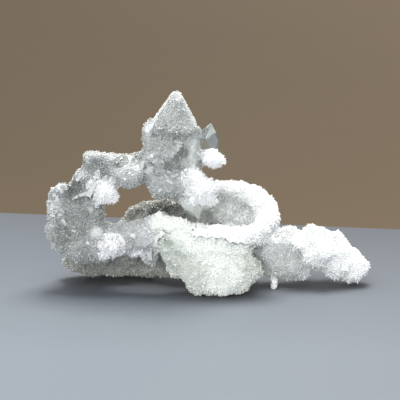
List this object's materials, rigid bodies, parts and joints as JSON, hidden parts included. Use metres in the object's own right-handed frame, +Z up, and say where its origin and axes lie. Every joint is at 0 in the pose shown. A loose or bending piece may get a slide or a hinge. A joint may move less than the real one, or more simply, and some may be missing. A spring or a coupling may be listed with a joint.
{
  "type": "mineral specimen",
  "caption": "Apophyllite points and tufts of fine crystals on a branching, looped piece of stalactitic chalcedony that stands on its own feet.",
  "frame": {"origin": "under the middle of the piece's box, on the surface it stands on", "axes": "+X to the right along the length, +Y to the back, +Z up"},
  "size_m": [0.1404, 0.048, 0.0838],
  "materials": {
    "clear_crystal": "flat natural faces, glassy and see-through",
    "white_tuft": "fine snow-white needle crystals, matte with fine sparkle",
    "coated_points": "translucent grey-green crystal under a frosting of tiny crystals",
    "cream_druse": "greenish cream sugary druse, translucent",
    "white_druse": "white sugary druse with fine needles at its edges",
    "grey_druse": "grey translucent druse with glassy grains",
    "shaded_druse": "grey-green druse, duller than the front"
  },
  "bodies": {
    "root": {"clear_point": "clear_crystal", "hanging_crystal": "clear_crystal", "arch_tuft": "white_tuft", "lobe_tuft": "white_tuft", "top_tuft": "white_tuft", "arm_tuft": "white_tuft", "point_cluster": "coated_points", "front_mass": "cream_druse", "curled_loop": "white_druse", "centre_arm": "grey_druse", "left_arch": "grey_druse", "tail": "white_druse", "rear_mass": "shaded_druse"}
  },
  "joints": []
}
